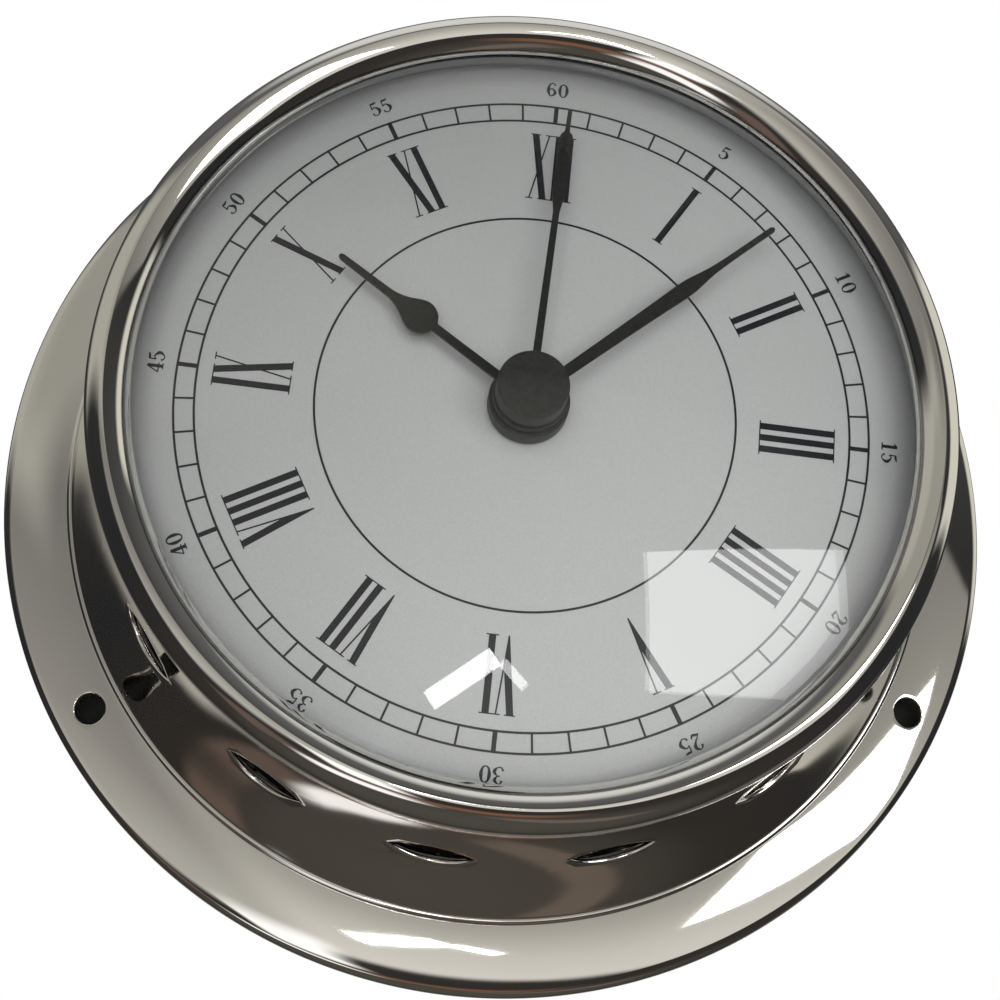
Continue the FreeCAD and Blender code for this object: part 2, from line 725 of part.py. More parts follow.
def third_wheel():
    body = wheel_body("third_wheel", centres()[2])
    add_pad(body, pivot_low, pivot_high, circles=[(0, 0, size.pivot_radius)])
    add_gear(body, 64, SIZES["train_module"], facing(64, THIRD_BEARING + 180), size.third_low,
             size.third_high)
    add_gear(body, 8, CENTRE_MODULE, THIRD_BEARING + 180, size.third_high, size.third_leaf_high)
    return body


def centre_wheel():
    """The wheel that turns once an hour and drives the minute arbor by friction."""
    body = new_body("centre_wheel")
    add_gear(body, 60, CENTRE_MODULE, facing(60, THIRD_BEARING), size.centre_low,
             size.centre_high)
    add_pad(body, size.centre_high, size.centre_boss_high, circles=[(0, 0, 2.6)])
    add_pocket(body, size.centre_low, size.centre_boss_high,
               circles=[(0, 0, size.minute_tube_radius + size.running_gap)])
    return body


def minute_arbor():
    """The hollow arbor with the cannon pinion; the minute hand is pressed on its front."""
    body = new_body("minute_arbor")
    add_pad(body, size.arbor_low, size.dial_level + size.minute_hub_high,
            circles=[(0, 0, size.minute_tube_radius)])
    add_gear(body, 12, SIZES["motion_module"], MINUTE_BEARING, size.cannon_low,
             size.cannon_high)
    add_pocket(body, size.arbor_low, size.dial_level + size.minute_hub_high,
               circles=[(0, 0, size.second_arbor_radius + size.running_gap)])
    return body


def minute_wheel():
    """The wheel between minute arbor and hour wheel, on the arbor that the knob turns."""
    module = SIZES["motion_module"]
    body = wheel_body("minute_wheel", centres()[3])
    add_pad(body, size.knob_seat, roof_low + size.pivot_depth,
            circles=[(0, 0, size.setting_radius)])
    add_gear(body, 36, module, facing(36, MINUTE_BEARING + 180), size.motion_low,
             size.motion_high)
    add_gear(body, 10, HOUR_MODULE, MINUTE_BEARING + 180, size.motion_high,
             size.motion_leaf_high)
    return body


def hour_wheel():
    """The hour wheel and the tube that carries the hour hand."""
    body = new_body("hour_wheel")
    add_gear(body, 40, HOUR_MODULE, facing(40, MINUTE_BEARING), size.hour_wheel_low,
             size.hour_wheel_high)
    add_pad(body, size.hour_wheel_high, size.dial_level + size.hour_hub_high,
            circles=[(0, 0, size.hour_tube_radius)])
    add_pocket(body, size.hour_wheel_low, size.dial_level + size.hour_hub_high,
               circles=[(0, 0, size.minute_tube_radius + size.running_gap)])
    return body


def set_knob():
    """The knurled knob behind the movement that sets the hands."""
    body = wheel_body("set_knob", centres()[3])
    low, high, radius = size.knob_low, size.knob_high, size.knob_radius
    add_pad(body, low, high, circles=[(0, 0, radius)])
    groove = add_pocket(body, low, high, circles=[(radius + 0.25, 0, 0.45)])
    repeat_round(body, [groove], KNOB_GROOVES)
    add_pocket(body, size.knob_seat, high, circles=[(0, 0, size.setting_radius)])
    return body


# ---------------------------------------------------------------- hands
def hub(label, angle, outline):
    """A hand's hub, turned so that the hand points at angle, clockwise from 12 o'clock."""
    return turned(label, outline, -angle)


def hour_hand():
    """A cupped hub, a stem, a teardrop and a fine point."""
    low = size.dial_level + size.hour_hub_low
    high = size.dial_level + size.hour_hub_high
    roof = high - size.hour_hub_roof
    radius = size.hour_hub_radius
    body = hub("hour_hand", HOUR_ANGLE, [
        (radius - 0.5, low), (radius, low), (radius, high), (size.hour_tube_radius, high),
        (size.hour_tube_radius, roof), (radius - 0.5, roof)])
    bulb, bead = size.hour_bulb, size.hour_bulb_radius
    add_pad(body, high - 0.4, high, [
        (0.55, 4.0), (0.5, bulb - 3.0), (bead, bulb, 3.6), (0.45, bulb + 4.2, 5.6),
        (0.33, size.hour_reach), (-0.33, size.hour_reach), (-0.45, bulb + 4.2),
        (-bead, bulb, 5.6), (-0.5, bulb - 3.0, 3.6), (-0.55, 4.0)])
    return body


def minute_hand():
    """A flat hub and a leaf that widens to its bulge and runs out to a needle."""
    low = size.dial_level + size.minute_hub_low
    high = size.dial_level + size.minute_hub_high
    body = hub("minute_hand", MINUTE_ANGLE, [
        (size.minute_tube_radius, low), (size.minute_hub_radius, low),
        (size.minute_hub_radius, high), (size.minute_tube_radius, high)])
    wide, bulge, tip = size.minute_width / 2, size.minute_bulge, size.minute_reach
    blade_low = low + 0.4
    add_pad(body, blade_low, blade_low + size.blade_thick, [
        (0.62, 3.5), (wide, bulge), (0.42, bulge + 4.6), (0.33, tip), (-0.33, tip),
        (-0.42, bulge + 4.6), (-wide, bulge), (-0.62, 3.5)])
    return body


def second_hand():
    """A slim needle with a baton near its end."""
    low = size.dial_level + size.cap_low
    body = hub("second_hand", SECOND_ANGLE, [
        (size.second_arbor_radius, low), (3.0, low), (3.0, low + size.blade_thick),
        (size.second_arbor_radius, low + size.blade_thick)])
    slim, baton, tip = size.second_width / 2, size.baton_width / 2, size.second_reach
    start, end = size.baton_low, size.baton_high
    add_pad(body, low, low + size.blade_thick, [
        (slim, 2.5), (slim * 0.85, start - 1.2), (baton, start), (baton, end),
        (slim * 0.6, end + 0.9), (slim * 0.55, tip), (-slim * 0.55, tip),
        (-slim * 0.6, end + 0.9), (-baton, end), (-baton, start), (-slim * 0.85, start - 1.2),
        (-slim, 2.5)])
    return body


def hand_cap():
    """The cap that covers the hubs, slotted over the second hand."""
    low = size.dial_level + size.cap_low + size.blade_thick
    high = size.dial_level + size.cap_high
    return hub("hand_cap", SECOND_ANGLE, [
        (size.second_arbor_radius, low), (size.cap_radius, low),
        (size.cap_radius, high - 0.35), (size.cap_radius - 0.35, high, 0.35), (0, high),
        (0, high - size.cap_roof), (size.second_arbor_radius, high - size.cap_roof)])


# ---------------------------------------------------------------- build, check and write
def check(bodies):
    for item in doc.Objects:
        if "Invalid" in item.State or "Error" in item.State:
            raise RuntimeError("%s did not recompute: %s" % (item.Name, item.getStatusString()))
    for body in bodies:
        shape = body.Shape
        if shape.isNull() or not shape.isValid() or not shape.Solids:
            raise RuntimeError("%s is not a valid solid" % body.Label)
        print("%-24s solids %d  volume %9.2f" % (body.Label, len(shape.Solids), shape.Volume))


def build_all():
    return [
        mounting_flange(), case_drum(), dust_ring(), bayonet_ring(), bayonet_collar(), bezel(),
        glass_gasket(), domed_glass(), reflector_ring(), dial_plate(), cushion_washer(),
        dial_washer(), centre_nut(), threaded_bush(), front_housing(), rear_cover(),
        middle_plate(), battery(), positive_contact(), negative_contact(), circuit_board(),
        quartz_crystal(), stator(), coil(), rotor_pinion(), rotor_magnet(),
        intermediate_wheel(), seconds_wheel(), third_wheel(), centre_wheel(), minute_arbor(),
        minute_wheel(), hour_wheel(), set_knob(), hour_hand(), minute_hand(), second_hand(),
        hand_cap(),
    ]


bodies = build_all()
doc.recompute()
check(bodies)
os.makedirs("parts", exist_ok=True)
for body in bodies:
    body.Shape.exportStep("parts/%s.step" % body.Label)
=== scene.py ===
"""Looks of a chromed ship's deck clock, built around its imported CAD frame.

The clock hangs upright: its front faces -Y, 12 o'clock is +Z and 3 o'clock is +X. Pieces are
described lying on their back, as (x, y, level), with level measured out from the wall, and
stand() turns such a point into the row frame. All lengths here are in millimetres until the
last step, where they become metres.
"""
import bmesh
import bpy
import json
import math
from mathutils import Matrix, Vector


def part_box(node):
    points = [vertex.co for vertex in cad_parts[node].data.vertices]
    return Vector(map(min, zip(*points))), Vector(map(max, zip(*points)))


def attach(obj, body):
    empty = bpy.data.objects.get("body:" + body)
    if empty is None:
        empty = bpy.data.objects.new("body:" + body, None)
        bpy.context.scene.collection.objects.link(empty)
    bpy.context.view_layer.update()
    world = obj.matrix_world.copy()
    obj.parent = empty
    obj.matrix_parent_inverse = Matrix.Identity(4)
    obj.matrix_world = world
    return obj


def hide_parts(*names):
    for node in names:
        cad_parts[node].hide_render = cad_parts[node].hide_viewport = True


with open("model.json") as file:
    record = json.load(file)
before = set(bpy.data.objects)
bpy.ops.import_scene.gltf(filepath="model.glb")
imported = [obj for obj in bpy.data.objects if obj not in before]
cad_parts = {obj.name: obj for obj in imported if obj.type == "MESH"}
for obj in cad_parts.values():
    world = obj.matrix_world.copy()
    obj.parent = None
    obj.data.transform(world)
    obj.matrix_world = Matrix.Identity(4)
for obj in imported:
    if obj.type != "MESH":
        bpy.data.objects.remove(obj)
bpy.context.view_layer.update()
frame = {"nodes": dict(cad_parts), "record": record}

MM = 0.001
SEGMENTS = 480                # around every turned piece that shows


def levels(node):
    """Lowest and highest level and the outer radius of a turned CAD node, in millimetres."""
    low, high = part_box(node)
    return -high.y / MM, -low.y / MM, max(high.x, high.z) / MM


# ------------------------------------------------------------------ sizes read from the frame
FLANGE_TOP, FLANGE_RADIUS = levels("mounting_flange")[1:]
DRUM_LOW, DRUM_TOP, FOOT_RADIUS = levels("case_drum")
BEZEL_LOW, BEZEL_TOP, BEZEL_RADIUS = levels("bezel")
DIAL = levels("dial_plate")[1]
GLASS_LOW, GLASS_APEX, GLASS_RADIUS = levels("domed_glass")
GASKET_LOW, GASKET_TOP, _ = levels("glass_gasket")
RING_TOP, RING_OUTER = levels("reflector_ring")[1:]
HOUR_LOW, HOUR_TOP, _ = levels("hour_hand")
MINUTE_LOW, MINUTE_TOP, _ = levels("minute_hand")
SECOND_LOW, SECOND_TOP, _ = levels("second_hand")
CAP_LOW, CAP_TOP, CAP_RADIUS = levels("hand_cap")

# ------------------------------------------------------------------ sizes that repeat the CAD
BASE_CLOCKING = 6.4           # degrees that the case sits anticlockwise of 12 o'clock
HOUR_ANGLE, MINUTE_ANGLE, SECOND_ANGLE = 302.6, 46.7, 2.1   # clockwise from 12 o'clock
SCREW_CIRCLE, SCREW_RADIUS = 55.5, 1.75
FLANGE_BORE = 48.0
WALL = 1.2
DRUM_RADIUS, FLARE_TOP = 44.9, 24.5
VENT_LEVEL, VENT_WIDTH, VENT_BOW, VENTS = 15.6, 9.6, 7.63, 15
WINDOW_RADIUS, CREST_RADIUS = 41.7, 44.2
BEZEL_BORE = 45.05
DOME_RIM, DOME_INNER_RIM = 42.3, 41.85
RING_INNER = 42.6
TRACK_INNER, TRACK_OUTER = 35.55, 37.7
INNER_CIRCLE = 22.9
ROMAN_LOW, ROMAN_HIGH = 25.5, 33.9
ARABIC_LOW, ARABIC_HEIGHT = 39.15, 1.75
LIP = 0.2                     # width of the rolled edge round a screw hole or a vent


def stand(x, y, level):
    return Vector((x, -level, y)) * MM


# ------------------------------------------------------------------ mesh helpers
def add_object(name, data):
    thing = bpy.data.objects.new(name, data)
    bpy.context.scene.collection.objects.link(thing)
    return thing


def shade_smooth(mesh, sharp):
    """Shades a mesh smooth, but for edges that turn by more than sharp, in degrees."""
    for polygon in mesh.polygons:
        polygon.use_smooth = True
    mesh.set_sharp_from_angle(angle=math.radians(sharp))


def make_object(name, mesh, body, material):
    """A piece of the clock that rides on a body, shaded smooth and dressed in the given material.
    """
    shade_smooth(mesh, 35)
    piece = add_object(name, mesh)
    mesh.materials.append(material)
    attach(piece, body)
    return piece


def mesh_from(name, points, faces, merge=1e-8):
    """A closed mesh from (x, y, level) points, with doubles merged and normals facing out."""
    mesh = bpy.data.meshes.new(name)
    mesh.from_pydata([stand(*point) for point in points], [], faces)
    build = bmesh.new()
    build.from_mesh(mesh)
    bmesh.ops.remove_doubles(build, verts=build.verts, dist=merge)
    bmesh.ops.recalc_face_normals(build, faces=build.faces)
    build.to_mesh(mesh)
    build.free()
    return mesh


def arc(start, end, radius, steps=12):
    """Points after start up to end on an arc; a positive radius turns left on the way."""
    start, end = Vector(start), Vector(end)
    chord = end - start
    rise = math.sqrt(max(radius ** 2 - (chord.length / 2) ** 2, 0.0))
    left = Vector((-chord.y, chord.x)).normalized()
    centre = (start + end) / 2 + left * math.copysign(rise, radius)
    first = math.atan2(start.y - centre.y, start.x - centre.x)
    last = math.atan2(end.y - centre.y, end.x - centre.x)
    sweep = (last - first) % (2 * math.pi)
    if radius < 0:
        sweep -= 2 * math.pi
    spots = [first + sweep * step / steps for step in range(1, steps + 1)]
    reach = abs(radius)
    return [(centre.x + reach * math.cos(a), centre.y + reach * math.sin(a)) for a in spots]


def outline(corners, rounding=0.0, steps=12):
    """A closed line through corners (x, y) or (x, y, r), where an arc of radius r leads to it."""
    points = []
    for number, corner in enumerate(corners):
        if len(corner) == 3:
            points += arc(corners[number - 1][:2], corner[:2], corner[2], steps)
        else:
            points.append(corner[:2])
    return soften(points, rounding) if rounding else points


def soften(points, radius):
    """Rounds each sharp corner of a closed line."""
    steps = 4
    soft = []
    for number, point in enumerate(points):
        here = Vector(point)
        before, after = Vector(points[number - 1]), Vector(points[(number + 1) % len(points)])
        back, ahead = before - here, after - here
        reach = min(radius, back.length * 0.45, ahead.length * 0.45)
        if back.length < 1e-6 or ahead.length < 1e-6 or back.angle(ahead) > math.radians(150):
            soft.append(point)
            continue
        first, last = here + back.normalized() * reach, here + ahead.normalized() * reach
        for step in range(steps + 1):
            share = step / steps
            spot = first.lerp(here, share).lerp(here.lerp(last, share), share)
            soft.append((spot.x, spot.y))
    return soft


def revolve(name, profile, segments=SEGMENTS, holes=(), turn=0.0):
    """Turns a closed (radius, level) profile about the clock's axis, with holes left out."""
    rows = len(profile)
    points = []
    for column in range(segments):
        angle = 2 * math.pi * column / segments + math.radians(turn)
        points += [(r * math.cos(angle), r * math.sin(angle), level) for r, level in profile]
    open_cells = set()
    faces = []
    for hole in holes:
        add_hole(points, faces, open_cells, profile, segments, turn, hole)
    for column in range(segments):
        following = (column + 1) % segments
        for row in range(rows):
            if (column, row) not in open_cells:
                above = (row + 1) % rows
                faces.append((column * rows + row, following * rows + row,
                              following * rows + above, column * rows + above))
    return mesh_from(name, points, faces)


def cell_loop(columns, band):
    """The cells' corners round a block, as (column, row), starting at its low left corner."""
    low = [(column, band[0]) for column in columns[:-1]]
    right = [(columns[-1], row) for row in band[:-1]]
    high = [(column, band[-1]) for column in reversed(columns[1:])]
    left = [(columns[0], row) for row in reversed(band[1:])]
    return low + right + high + left


def add_hole(points, faces, open_cells, profile, segments, turn, hole):
    """Cuts one hole through both skins of the profile and lines it with a rounded wall.

    The hole is given by its middle column, its half width in columns, its bands of rows on
    the outer and inner skin, the shape of its edge and the way that its wall goes in.
    """
    rows = len(profile)
    columns = [hole["column"] + step for step in range(-hole["reach"], hole["reach"] + 1)]
    middle = 2 * math.pi * hole["column"] / segments + math.radians(turn)
    linings = []
    for band, depths in ((hole["outer"], hole["wall"]), (hole["inner"], [(0.0, 0.0)])):
        for column in columns[:-1]:
            for row in range(min(band), max(band)):
                open_cells.add((column % segments, row % rows))
        loop = cell_loop(columns, band)
        ring = [(column % segments) * rows + row % rows for column, row in loop]
        flat = [flat_place(profile, segments, hole, column, row) for column, row in loop]
        rings = [ring]
        for share in (0.35, 0.7):
            spots = []
            for across, along in flat:
                edge = hole["edge"](math.atan2(along, across), 0.0)
                spots.append((across + (edge[0] - across) * share,
                              along + (edge[1] - along) * share, 0.0))
            rings.append(new_ring(points, profile, hole, middle, band, spots))
        for shrink, depth in depths:
            spots = [hole["edge"](math.atan2(along, across), shrink) + (depth,)
                     for across, along in flat]
            rings.append(new_ring(points, profile, hole, middle, band, spots))
        bridge(faces, rings)
        linings.append(rings[-1])
    bridge(faces, linings)


def flat_place(profile, segments, hole, column, row):
    """Where a grid corner lies on the unrolled skin, from the middle of the hole."""
    radius, level = profile[row % len(profile)]
    along = (radius if hole["axial"] else level) - hole["at"]
    across = (column - hole["column"]) * 2 * math.pi / segments * radius
    return across, along


def new_ring(points, profile, hole, middle, band, spots):
    """Adds a ring of points on the skin, or below it by each spot's depth."""
    skin = sorted((profile[row % len(profile)] for row in band),
                  key=lambda place: place[0 if hole["axial"] else 1])
    start = len(points)
    for across, along, depth in spots:
        radius, level = on_skin(skin, hole["at"] + along, hole["axial"])
        if hole["axial"]:
            level -= depth
        else:
            radius -= depth
        angle = middle + across / radius
        points.append((radius * math.cos(angle), radius * math.sin(angle), level))
    return list(range(start, len(points)))


def on_skin(skin, value, axial):
    """The (radius, level) of the skin at a given radius, if axial, or at a given level."""
    key = 0 if axial else 1
    for first, last in zip(skin, skin[1:]):
        if first[key] <= value <= last[key]:
            share = (value - first[key]) / (last[key] - first[key])
            return tuple(a + (b - a) * share for a, b in zip(first, last))
    return skin[0] if value < skin[0][key] else skin[-1]


def bridge(faces, rings):
    for near, far in zip(rings, rings[1:]):
        count = len(near)
        for step in range(count):
            ahead = (step + 1) % count
            faces.append((near[step], near[ahead], far[ahead], far[step]))


def prism(points, faces, flat, low, high):
    """Adds an upright prism on a flat outline to lists of points and faces."""
    start, count = len(points), len(flat)
    points += [(x, y, low) for x, y in flat] + [(x, y, high) for x, y in flat]
    faces.append(tuple(start + step for step in range(count)))
    faces.append(tuple(start + count + step for step in reversed(range(count))))
    for step in range(count):
        ahead = (step + 1) % count
        faces.append((start + step, start + ahead, start + count + ahead, start + count + step))


def turn_flat(flat, degrees):
    """Turns (x, y) points clockwise about the clock's axis."""
    c, s = math.cos(math.radians(degrees)), math.sin(math.radians(degrees))
    return [(x * c + y * s, y * c - x * s) for x, y in flat]


# ------------------------------------------------------------------ materials
class Nodes:
    """A few short cuts for building a node tree."""

    def __init__(self, name):
        self.material = bpy.data.materials.new(name)
        self.material.use_nodes = True
        self.tree = self.material.node_tree
        self.shader = self.tree.nodes["Principled BSDF"]

    def add(self, kind, **values):
        node = self.tree.nodes.new(kind)
        for key, value in values.items():
            if key.startswith("in_"):
                node.inputs[key[3:].replace("_", " ")].default_value = value
            else:
                setattr(node, key, value)
        return node

    def link(self, source, target):
        self.tree.links.new(source, target)

    def set(self, **values):
        for key, value in values.items():
            self.shader.inputs[key.replace("_", " ")].default_value = value

    def noise(self, scale, detail):
        """Cloudy noise that stays with the piece, at so many waves to the metre."""
        place = self.add("ShaderNodeTexCoord")
        noise = self.add("ShaderNodeTexNoise", in_Scale=scale, in_Detail=detail)
        self.link(place.outputs["Object"], noise.inputs["Vector"])
        return noise.outputs["Fac"]

    def spread(self, factor, low, high, socket):
        """Drives a number socket of the shader from a factor, between low and high."""
        ramp = self.add("ShaderNodeMapRange", in_To_Min=low, in_To_Max=high)
        self.link(factor, ramp.inputs["Value"])
        self.link(ramp.outputs["Result"], self.shader.inputs[socket])

    def tint(self, factor, dark, light):
        """Drives the shader's colour from a factor, whose middle values go from dark to light."""
        ramp = self.add("ShaderNodeValToRGB")
        ends = zip(ramp.color_ramp.elements, (0.35, 0.65), (dark, light))
        for element, position, tone in ends:
            element.position = position
            element.color = (*tone, 1)
        self.link(factor, ramp.inputs["Fac"])
        self.link(ramp.outputs["Color"], self.shader.inputs["Base Color"])

    def bump(self, factor, strength, distance):
        """Raises the surface by a factor times the distance, in metres."""
        bump = self.add("ShaderNodeBump", in_Strength=strength, in_Distance=distance)
        self.link(factor, bump.inputs["Height"])
        self.link(bump.outputs["Normal"], self.shader.inputs["Normal"])


def chrome(name, tone, roughness):
    """Polished plate: faint waves from polishing, fine scratches and a few dull patches."""
    made = Nodes(name)
    made.set(Metallic=1.0)
    made.tint(made.noise(60, 3), tuple(0.97 * part for part in tone), tone)
    made.spread(made.noise(220, 4), roughness * 0.6, roughness * 1.5, "Roughness")
    made.bump(made.noise(45, 2), 0.02, 0.002)
    return made.material


def satin_dial():
    """Silver-grey lacquer with a fine metallic grain."""
    made = Nodes("dial_silver")
    made.tint(made.noise(9000, 2), (0.55, 0.553, 0.555), (0.62, 0.623, 0.625))
    made.set(Metallic=0.15)
    made.spread(made.noise(4000, 2), 0.38, 0.5, "Roughness")
    made.bump(made.noise(9000, 2), 0.02, 0.00005)
    return made.material


def ink():
    made = Nodes("dial_ink")
    made.tint(made.noise(3000, 2), (0.006, 0.006, 0.010), (0.011, 0.011, 0.018))
    made.set(Roughness=0.42)
    return made.material


def lacquer(name, dark, light, roughness=0.42):
    """Black paint or moulded plastic with a slightly uneven sheen and a fine grain."""
    made = Nodes(name)
    made.tint(made.noise(1800, 3), dark, light)
    made.spread(made.noise(900, 3), roughness * 0.85, roughness * 1.2, "Roughness")
    made.bump(made.noise(6000, 2), 0.08, 0.00004)
    return made.material


def clear_glass():
    """Clear glass: light passes straight through and the surface mirrors by its angle."""
    made = Nodes("clear_glass")
    glossy = made.add("ShaderNodeBsdfGlossy", in_Roughness=0.0)
    clear = made.add("ShaderNodeBsdfTransparent", in_Color=(0.985, 0.99, 0.988, 1))
    fresnel = made.add("ShaderNodeFresnel", in_IOR=1.5)
    mix = made.add("ShaderNodeMixShader")
    made.link(fresnel.outputs["Fac"], mix.inputs["Fac"])
    made.link(clear.outputs["BSDF"], mix.inputs[1])
    made.link(glossy.outputs["BSDF"], mix.inputs[2])
    made.link(mix.outputs["Shader"], made.tree.nodes["Material Output"].inputs["Surface"])
    return made.material


def metal(name, tone, roughness, grain=900):
    made = Nodes(name)
    made.set(Metallic=1.0)
    made.tint(made.noise(grain, 3), tuple(0.86 * part for part in tone), tone)
    made.spread(made.noise(grain * 2, 3), roughness * 0.7, roughness * 1.3, "Roughness")
    made.bump(made.noise(grain * 3, 2), 0.05, 0.00005)
    return made.material


def plastic(name, dark, light, roughness):
    made = Nodes(name)
    made.tint(made.noise(1200, 3), dark, light)
    made.spread(made.noise(2500, 3), roughness * 0.85, roughness * 1.15, "Roughness")
    made.bump(made.noise(5200, 3), 0.12, 0.00006)
    return made.material


MATERIALS = {
    "chrome": chrome("chrome", (0.90, 0.88, 0.84), 0.045),
    "chrome_dull": metal("chrome_dull", (0.62, 0.60, 0.56), 0.28, 500),
    "rubber": plastic("rubber", (0.015, 0.015, 0.015), (0.03, 0.03, 0.03), 0.75),
    "fibre": plastic("fibre", (0.012, 0.012, 0.011), (0.018, 0.017, 0.016), 0.8),
    "glass": clear_glass(),
    "dial_silver": satin_dial(),
    "brass": metal("brass", (0.75, 0.56, 0.27), 0.25),
    "movement_plastic": plastic("movement_plastic", (0.036, 0.036, 0.038),
                                (0.043, 0.043, 0.046), 0.5),
    "natural_plastic": plastic("natural_plastic", (0.72, 0.70, 0.62), (0.82, 0.80, 0.73), 0.42),
    "battery_jacket": plastic("battery_jacket", (0.07, 0.11, 0.19), (0.08, 0.125, 0.21), 0.28),
    "nickel": metal("nickel", (0.70, 0.68, 0.64), 0.24),
    "board": plastic("board", (0.01, 0.10, 0.05), (0.02, 0.15, 0.07), 0.35),
    "copper_wire": metal("copper_wire", (0.60, 0.24, 0.10), 0.32, 3000),
    "magnet": metal("magnet", (0.10, 0.10, 0.11), 0.45),
    "hand_black": lacquer("hand_black", (0.010, 0.010, 0.009), (0.020, 0.020, 0.018)),
    "cap_black": lacquer("cap_black", (0.020, 0.020, 0.018), (0.032, 0.032, 0.028), 0.5),
    "ink": ink(),
}


def dress_cad_nodes():
    """Gives every CAD node the material of its slot in the record."""
    for entry in frame["record"]["subparts"]:
        node = frame["nodes"][entry["node"]]
        node.data.materials.clear()
        node.data.materials.append(MATERIALS[entry["material_slot"]])
        shade_smooth(node.data, 25)


# ------------------------------------------------------------------ case
def flange():
    """The screw-down ring, with a gently domed face and three holes with rolled edges."""
    radii = [SCREW_CIRCLE + 0.6 * step for step in range(-4, 5)]
    chamfer, round_back, round_front, dome = 0.12, 0.8, 1.3, 26.0
    inner_top, outer_top = (FOOT_RADIUS + 0.05, FLANGE_TOP), (FLANGE_RADIUS - 0.7, 2.0)
    face = [outer_top] + arc(outer_top, inner_top, dome, 60)
    back = [(FLANGE_BORE, chamfer), (FLANGE_BORE + chamfer, 0.0)] + [(r, 0.0) for r in radii]
    corner = (FLANGE_RADIUS - round_back, 0.0)
    rim = arc(corner, (FLANGE_RADIUS, round_back), round_back, 8)
    rim += arc((FLANGE_RADIUS, round_back), outer_top, round_front, 8)
    top = [on_skin(sorted(face), radius, True) for radius in reversed(radii)]
    profile = back + [corner] + rim
    profile += [on_skin(sorted(face), FLANGE_RADIUS - 1.2, True)]
    first_top = len(profile)
    profile += top
    profile += [on_skin(sorted(face), SCREW_CIRCLE - 3.0, True), inner_top,
                (FLANGE_BORE + chamfer, FLANGE_TOP), (FLANGE_BORE, FLANGE_TOP - chamfer)]
    count = len(radii)

    def edge(angle, shrink):
        reach = SCREW_RADIUS + LIP - shrink
        return reach * math.cos(angle), reach * math.sin(angle)

    wall = [(0.0, 0.0), (0.07, 0.01), (0.13, 0.05), (0.18, 0.12), (LIP, 0.25)]
    holes = [{"column": (SEGMENTS // 4 + SEGMENTS // 3 * number) % SEGMENTS, "reach": 4,
              "outer": list(range(first_top + count - 1, first_top - 1, -1)),
              "inner": list(range(2, 2 + count)), "edge": edge, "wall": wall,
              "axial": True, "at": SCREW_CIRCLE} for number in range(3)]
    mesh = revolve("mounting_flange_turned", profile, holes=holes, turn=BASE_CLOCKING)
    piece = make_object("mounting_flange_turned", mesh, "case", MATERIALS["chrome"])
    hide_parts("mounting_flange")


def drum():
    """The flared drum with its beaded foot and a ring of vents with pressed edges."""
    steps = 56
    bead, flare_bow, vent_zone = 0.55, 66.0, 2.9
    foot_high = FLANGE_TOP + bead * 1.4
    foot = FOOT_RADIUS - bead
    flare_start = (foot - 0.12, foot_high)
    flare = [flare_start] + arc(flare_start, (DRUM_RADIUS, FLARE_TOP), -flare_bow, 200)
    low, high = foot_high + 0.02, FLARE_TOP - 0.02
    ladder = [low + (high - low) * step / steps for step in range(steps + 1)]
    skin = sorted(flare, key=lambda place: place[1])
    outer = [on_skin(skin, level, False) for level in ladder]
    inner = [(radius - WALL, level) for radius, level in reversed(outer)]
    profile = [(foot - WALL, DRUM_LOW), (FOOT_RADIUS - 0.05, DRUM_LOW)]
    profile += arc((FOOT_RADIUS - 0.05, DRUM_LOW), (foot - 0.1, foot_high), bead, 10)
    first = len(profile)
    profile += outer
    profile += [(DRUM_RADIUS, DRUM_TOP - 0.1), (DRUM_RADIUS - 0.1, DRUM_TOP),
                (DRUM_RADIUS - WALL, DRUM_TOP)]
    second = len(profile)
    profile += inner
    near = [step for step, level in enumerate(ladder) if abs(level - VENT_LEVEL) < vent_zone]
    drop = math.sqrt(VENT_BOW ** 2 - VENT_WIDTH ** 2 / 4)

    def edge(angle, shrink):
        """A slot between two arcs, met by a ray from its middle."""
        bow, rise = VENT_BOW + LIP - shrink, drop * abs(math.sin(angle))
        reach = math.sqrt(rise ** 2 + bow ** 2 - drop ** 2) - rise
        return reach * math.cos(angle), reach * math.sin(angle)

    wall = [(0.0, 0.0), (0.07, 0.015), (0.13, 0.055), (0.18, 0.13), (LIP, 0.25)]
    last = second + len(inner) - 1
    holes = [{"column": (SEGMENTS // 4 + SEGMENTS // VENTS * number) % SEGMENTS, "reach": 11,
              "outer": [first + step for step in near],
              "inner": [last - step for step in near], "edge": edge, "wall": wall,
              "axial": False, "at": VENT_LEVEL} for number in range(VENTS)]
    mesh = revolve("case_drum_spun", profile, holes=holes, turn=BASE_CLOCKING)
    piece = make_object("case_drum_spun", mesh, "case", MATERIALS["chrome"])
    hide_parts("case_drum")


# ------------------------------------------------------------------ instrument front
def bezel():
    """A rolled ring: a rounded shoulder, a narrow crest and a hollow slope to the glass."""
    seat = GASKET_TOP
    profile = outline([
        (BEZEL_BORE, BEZEL_LOW), (BEZEL_BORE + 0.5, BEZEL_LOW),
        (BEZEL_RADIUS, seat - 1.1, 9.0), (CREST_RADIUS, BEZEL_TOP, 3.0),
        (WINDOW_RADIUS, seat + 0.5, 4.2), (WINDOW_RADIUS, seat), (BEZEL_BORE, seat),
    ], 0.12, 24)
    mesh = revolve("bezel_rolled", profile)
    piece = make_object("bezel_rolled", mesh, "instrument", MATERIALS["chrome"])
    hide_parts("bezel")


